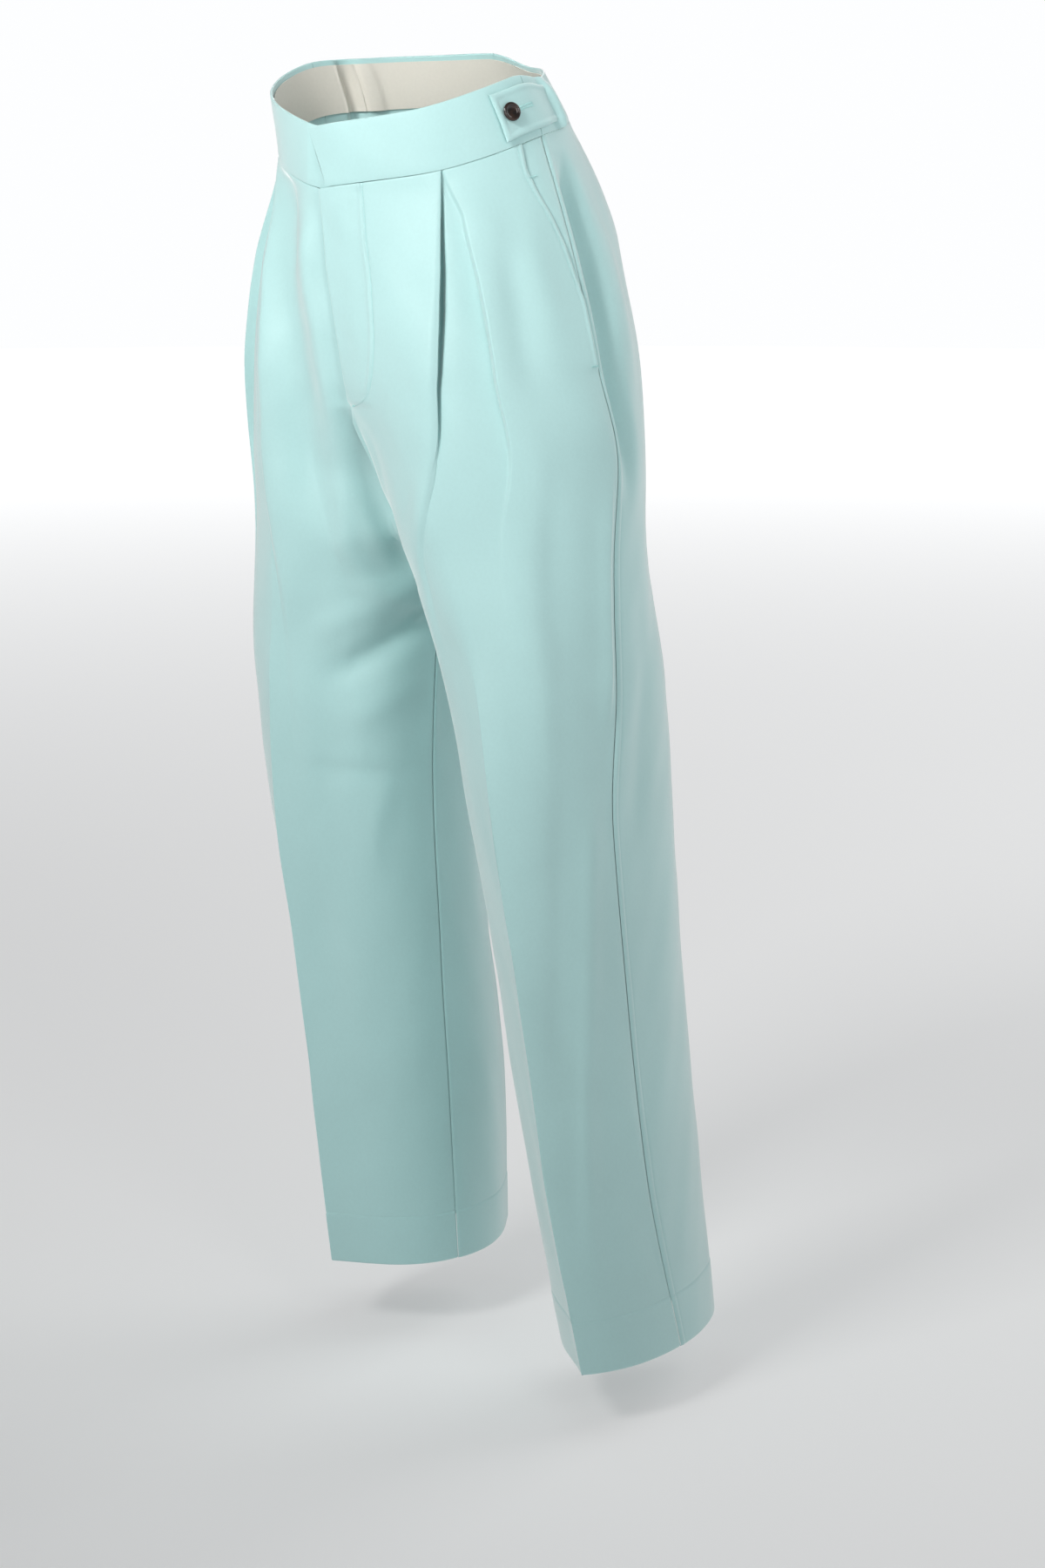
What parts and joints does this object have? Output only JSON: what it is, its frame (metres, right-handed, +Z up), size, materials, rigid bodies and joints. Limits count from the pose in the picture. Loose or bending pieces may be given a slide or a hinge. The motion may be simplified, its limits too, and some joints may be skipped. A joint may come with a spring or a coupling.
{
  "type": "straight-leg trousers",
  "caption": "High-waisted pleated straight-leg trousers, worn open and hollow, with side tabs buttoned over the waistband and slanted side pockets.",
  "frame": {"origin": "centre of the waist, on the level between the waistband's rim and the waist seam at the sides, where the wearer holds the trousers up", "axes": "+Z up through the waist, -Y to the front, +X to the wearer's left"},
  "size_m": [0.4755, 0.2836, 1.0884],
  "materials": {
    "cloth": "pale aqua, very fine smooth weave with a soft sheen",
    "facing_cloth": "pale grey-cream plain weave, matte",
    "dark_horn": "near-black brown horn, polished",
    "zip_tape": "aqua woven tape, matte"
  },
  "bodies": {
    "root": {"front_left": "cloth", "front_right": "cloth", "back_left": "cloth", "back_right": "cloth", "pocket_facing_left": "cloth", "pocket_facing_right": "cloth", "waistband_front_left": "cloth", "waistband_front_right": "cloth", "waistband_back": "cloth", "waistband_facing": "facing_cloth", "side_tab_left": "cloth", "side_tab_right": "cloth", "button_left": "dark_horn", "button_right": "dark_horn", "fly_shield": "cloth", "fly_zip": "zip_tape"}
  },
  "joints": []
}
